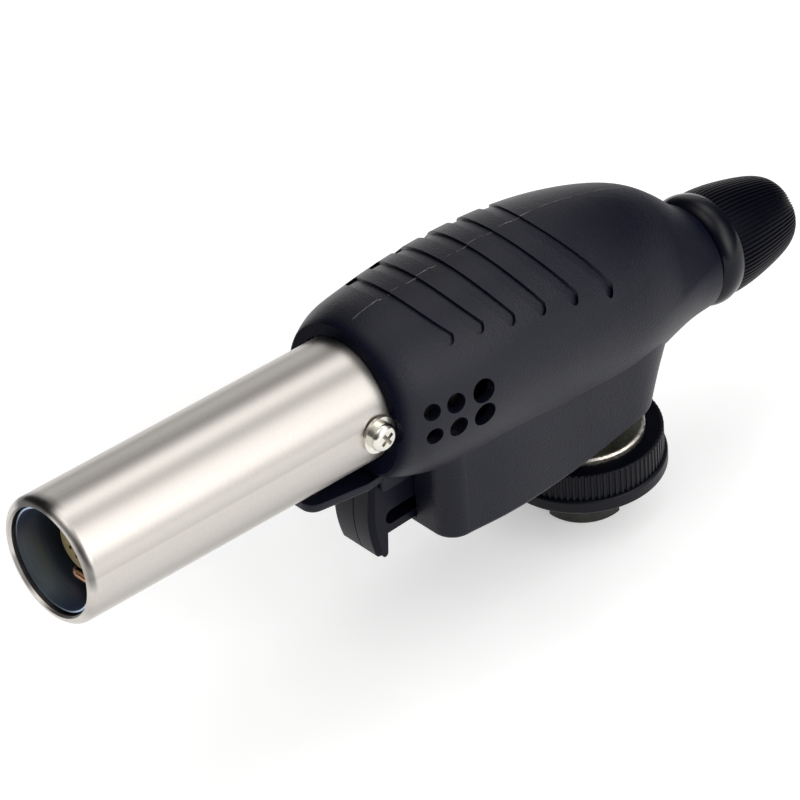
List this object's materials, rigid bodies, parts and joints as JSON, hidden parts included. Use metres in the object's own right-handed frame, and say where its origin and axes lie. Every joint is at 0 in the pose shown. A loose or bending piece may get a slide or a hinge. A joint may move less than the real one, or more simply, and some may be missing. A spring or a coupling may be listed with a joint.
{
  "type": "butane torch head",
  "caption": "Cartridge-mounted gas torch head with steel flame tube, slide trigger igniter, ribbed gas knob and fluted lock ring.",
  "frame": {"origin": "centre of the connector's underside, on the cartridge axis", "axes": "+Z along the cartridge axis, up out of the cartridge; the nozzle points to -X; Y = 0 is the split plane of the housing"},
  "size_m": [0.1783, 0.0378, 0.0721],
  "materials": {
    "housing": "fine-textured black ABS",
    "brushed_tube": "brushed stainless steel, warm grey",
    "liner": "dark blue-grey heat-resistant finish",
    "brass": "plain brass",
    "copper": null,
    "nickel": "bright nickel plate",
    "trigger_plastic": "black moulded plastic",
    "zinc": "die-cast zinc, grey",
    "ring_plastic": "black moulded plastic",
    "knob_gloss": "satin black plastic",
    "knob_plastic": "black ribbed plastic",
    "steel": "plain steel",
    "ceramic": "unglazed white ceramic",
    "lead_insulation": "red silicone-insulated lead",
    "piezo_plastic": "dark moulded plastic",
    "rubber": "black rubber"
  },
  "bodies": {
    "head": {"left_shell": "housing", "right_shell": "housing", "flame_tube": "brushed_tube", "liner_tube": "liner", "burner_head": "brass", "preheat_loop": "copper", "tube_screws": "nickel", "tube_washers": "nickel", "connector_body": "zinc", "mixing_tube": "brass", "gas_jet": "brass", "burner_holder": "steel", "spark_electrode": "steel", "electrode_insulator": "ceramic", "ignition_lead": "lead_insulation", "piezo_case": "piezo_plastic", "piezo_spring": "steel", "valve_body": "brass", "spindle_o_ring": "rubber", "packing_nut": "brass", "gas_tube": "copper", "neck_nut": "steel", "valve_pin": "brass", "inlet_filter": "brass", "canister_seal": "rubber", "shell_screws": "steel", "retaining_clip": "steel"},
    "trigger": {"trigger": "trigger_plastic"},
    "plunger": {"piezo_plunger": "piezo_plastic"},
    "ring": {"lock_ring": "ring_plastic", "bayonet_plate": "zinc"},
    "knob": {"valve_spindle": "brass", "knob_hub": "knob_gloss", "knob_grip": "knob_plastic", "knob_screw": "nickel"}
  },
  "joints": [
    {"name": "trigger_pull", "type": "slide", "parent": "head", "child": "trigger", "axis": [1, 0, 0], "range_m": [0, 0.005], "stiffness_N_per_m": 1500, "springref_m": -0.002},
    {"name": "plunger_press", "type": "slide", "parent": "head", "child": "plunger", "axis": [1, 0, 0], "range_m": [0, 0.005], "deforming": ["piezo_spring"]},
    {"name": "ring_turn", "type": "hinge", "parent": "head", "child": "ring", "pos_m": [0, 0, 0], "axis": [0, 0, 1], "range_deg": [0, 40]},
    {"name": "knob_turn", "type": "hinge", "parent": "head", "child": "knob", "pos_m": [0.0282, 0, 0.0316], "axis": [0.9968, 0, -0.0802], "range_deg": [0, 360]}
  ],
  "couplings": [
    {"joint": "plunger_press", "follows": "trigger_pull", "ratio": 1}
  ]
}
